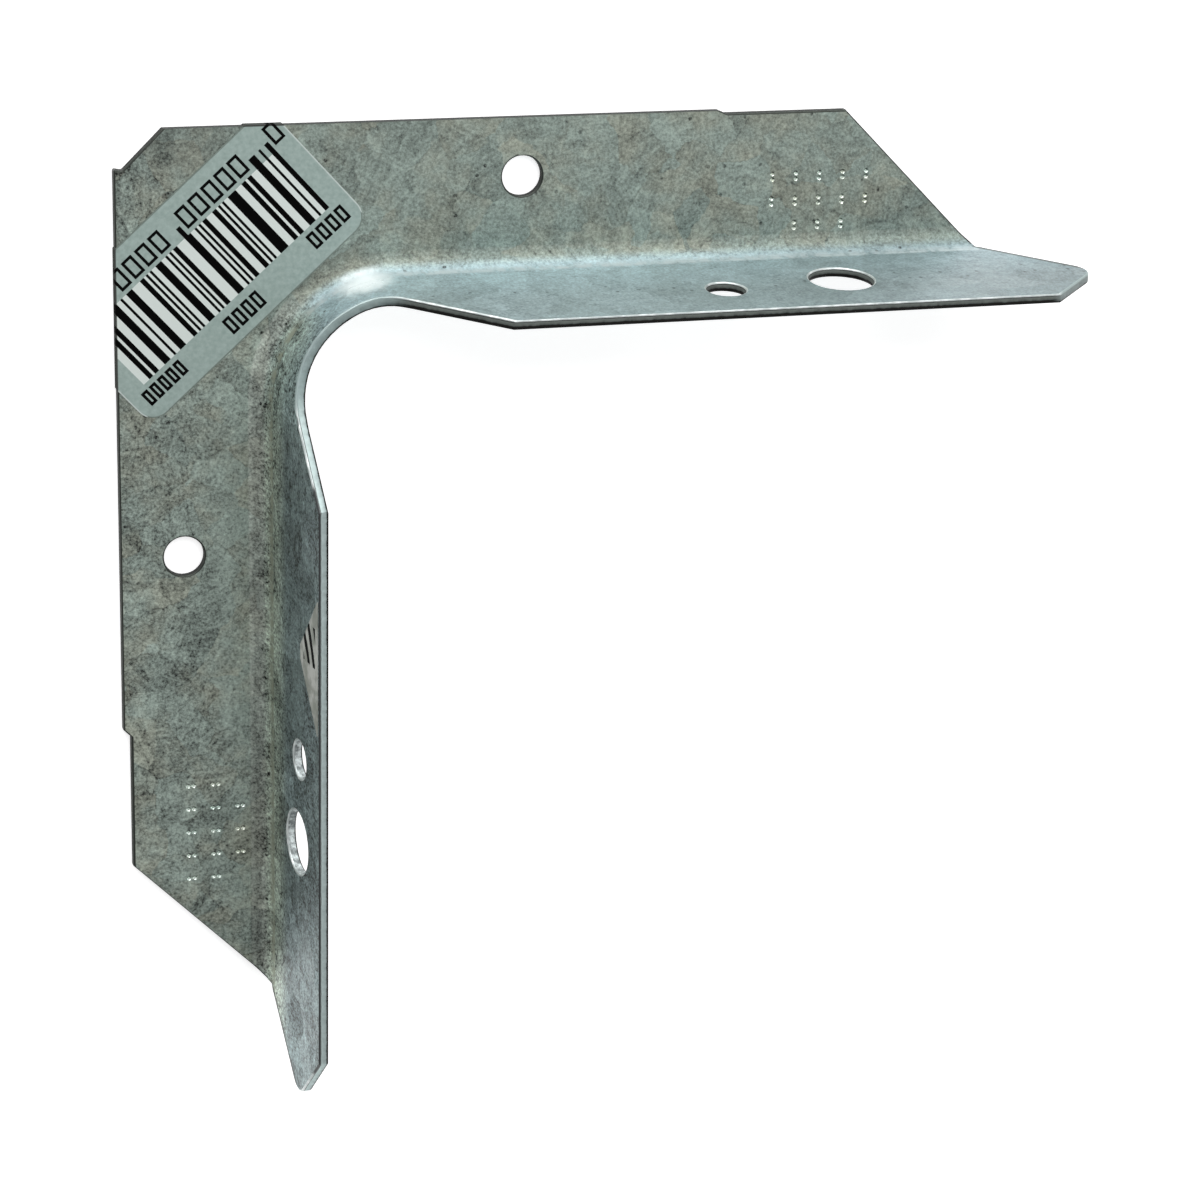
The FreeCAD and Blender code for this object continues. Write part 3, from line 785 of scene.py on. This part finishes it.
def tag_material():
    """A scrap of printed paper, crumpled."""
    material, tree, shader = new_material("torn_tag")
    place = place_on_part(tree)
    _, y, z = split(tree, place)
    crease = noise(tree, place, TAG_CREASE, 3.0, 0.6).outputs["Fac"]
    slant = total(tree, product(tree, y, 0.5), product(tree, z, 1.1), span(tree, crease, *TAG_WAVER))
    stroke = calc(tree, "FRACT", calc(tree, "DIVIDE", slant, TAG_STROKE))
    field = product(tree, between(tree, y, *TAG_RUN), between(tree, z, *TAG_RISE))
    ink = product(tree, calc(tree, "LESS_THAN", stroke, 0.5), field)
    paper = blend(tree, step(tree, crease, 0.35, 0.65), TAG_DARK, TAG_LIGHT)
    put(tree, shader.inputs["Base Color"], blend(tree, ink, paper, INK))
    put(tree, shader.inputs["Roughness"], span(tree, crease, 0.7, 0.85))
    shader.inputs["Specular IOR Level"].default_value = 0.15
    return material


# Dressing the solids

FACE_SLOT, CUT_SLOT, ARRIS_SLOT = range(3)


def sheet_normal(point):
    """The sheet's own normal near a point of the connector."""
    left = max(CORNER_RADIUS - point.x, 0.0)
    low = max(CORNER_RADIUS + point.y, 0.0)
    radius = math.hypot(left, low)
    across = radius - CORNER_RADIUS
    outward = Vector((-left, low, 0)) / radius
    up = Vector((0, 0, 1))
    if across > BEND_REACH:
        return up
    if point.z > BEND_REACH:
        return outward * math.cos(LEAN) + up * math.sin(LEAN)
    pull_in = BEND_REACH + THICKNESS / 2
    return (outward * (pull_in - across) + up * (pull_in - point.z)).normalized()


def draw_sliver_together(sheet):
    """Joins the corners of the tiny facet where the top leg's end cuts meet, too short to be rounded."""
    group = sheet.vertex_groups.new(name="sliver")
    near = [point.index for point in sheet.data.vertices if (point.co - SLIVER_PLACE).length < SLIVER_REACH]
    group.add(near, 1.0, "REPLACE")
    joined = sheet.modifiers.new("sliver", "WELD")
    joined.vertex_group = group.name
    joined.merge_threshold = SLIVER_GAP


def dress_connector():
    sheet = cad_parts["angle_connector"]
    sheet.data.materials.clear()
    for material in (galvanised_material(), cut_edge_material(), arris_wear_and_light_material()):
        sheet.data.materials.append(material)
    for face in sheet.data.polygons:
        is_cut = abs(face.normal.dot(sheet_normal(face.center))) < CUT_FACE_LIMIT
        face.material_index = CUT_SLOT if is_cut else FACE_SLOT
    weld = sheet.modifiers.new("weld", "WELD")
    weld.merge_threshold = WELD_GAP
    draw_sliver_together(sheet)
    flats = sheet.modifiers.new("flats", "DECIMATE")
    flats.decimate_type = "DISSOLVE"
    flats.angle_limit = FLAT_ANGLE
    flats.delimit = {"MATERIAL"}
    arris = sheet.modifiers.new("arris", "BEVEL")
    arris.width = EDGE_ROUND
    arris.segments = EDGE_SEGMENTS
    arris.limit_method = "ANGLE"
    arris.angle_limit = EDGE_ANGLE
    arris.use_clamp_overlap = False
    arris.material = ARRIS_SLOT
    arris.harden_normals = True


def dress_labels():
    for node, material in (("corner_label", label_material()), ("flange_label", tag_material())):
        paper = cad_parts[node]
        paper.data.materials.clear()
        paper.data.materials.append(material)


# Stage: floor, light and camera

FLOOR_HALF = 3.0
FLOOR_DROP = 0.02 * MM
FLOOR_TONE = (0.8, 0.8, 0.8, 1)
FLOOR_GLOW = 0.68
SURROUND_LIGHT = 0.25
SURROUND_SEEN = 1.0
LIGHT_AIM = Vector((0.03, -0.03, 0))

# Area lights: name, place, width, depth and radiance
LIGHTS = (
    ("ceiling", (0.55, -0.36, 1.05), 1.2, 1.2, 0.75),
    ("low_key", (-0.04, 0.62, 0.17), 0.9, 0.25, 6.0),
    ("high_key", (0.05, 0.42, 0.6), 0.8, 0.3, 3.0),
)


def seen_ray(tree):
    """1 for rays from the camera, from a mirror-like face or through glass, else 0."""
    path = tree.nodes.new("ShaderNodeLightPath")
    seen = calc(tree, "MAXIMUM", path.outputs["Is Camera Ray"], path.outputs["Is Glossy Ray"])
    return calc(tree, "MAXIMUM", seen, path.outputs["Is Transmission Ray"])


def add_floor():
    mesh = bpy.data.meshes.new("floor")
    corners = [(-1, -1), (1, -1), (1, 1), (-1, 1)]
    mesh.from_pydata([(x * FLOOR_HALF, y * FLOOR_HALF, -FLOOR_DROP) for x, y in corners], [], [(0, 1, 2, 3)])
    floor = bpy.data.objects.new("floor", mesh)
    bpy.context.scene.collection.objects.link(floor)
    material, tree, shader = new_material("white_floor")
    shader.inputs["Base Color"].default_value = FLOOR_TONE
    shader.inputs["Roughness"].default_value = 0.9
    shader.inputs["Specular IOR Level"].default_value = 0.0
    shader.inputs["Emission Color"].default_value = (1, 1, 1, 1)
    put(tree, shader.inputs["Emission Strength"], product(tree, seen_ray(tree), FLOOR_GLOW))
    mesh.materials.append(material)


def add_world():
    world = bpy.data.worlds.new("surround")
    bpy.context.scene.world = world
    world.use_nodes = True
    tree = world.node_tree
    background = tree.nodes["Background"]
    background.inputs["Color"].default_value = (1, 1, 1, 1)
    path = tree.nodes.new("ShaderNodeLightPath")
    strength = span(tree, path.outputs["Is Camera Ray"], SURROUND_LIGHT, SURROUND_SEEN)
    put(tree, background.inputs["Strength"], strength)


def add_light(name, place, width, depth, radiance):
    """An area light of that radiance, facing the part."""
    lamp = bpy.data.lights.new(name, "AREA")
    lamp.shape = "RECTANGLE"
    lamp.size = width
    lamp.size_y = depth
    lamp.energy = radiance * math.pi * width * depth
    light = bpy.data.objects.new(name, lamp)
    light.location = place
    light.rotation_mode = "QUATERNION"
    light.rotation_quaternion = (LIGHT_AIM - Vector(place)).to_track_quat("-Z", "Y")
    bpy.context.scene.collection.objects.link(light)


def add_lights():
    for light in LIGHTS:
        add_light(*light)


def add_camera():
    lens = bpy.data.cameras.new("camera")
    lens.lens = CAMERA_LENS
    lens.sensor_width = SENSOR
    lens.clip_start = 0.01
    camera = bpy.data.objects.new("camera", lens)
    back = (CAMERA_PLACE - CAMERA_AIM).normalized()
    right = Vector((0, 1, 0)).cross(back).normalized()
    turn = Matrix((right, back.cross(right), back)).transposed()
    camera.rotation_mode = "QUATERNION"
    camera.rotation_quaternion = (Matrix.Rotation(CAMERA_ROLL, 3, back) @ turn).to_quaternion()
    camera.location = CAMERA_PLACE
    bpy.context.scene.collection.objects.link(camera)
    bpy.context.scene.camera = camera


dress_connector()
dress_labels()
add_floor()
add_world()
add_lights()
add_camera()
bpy.context.scene.view_settings.view_transform = "Standard"
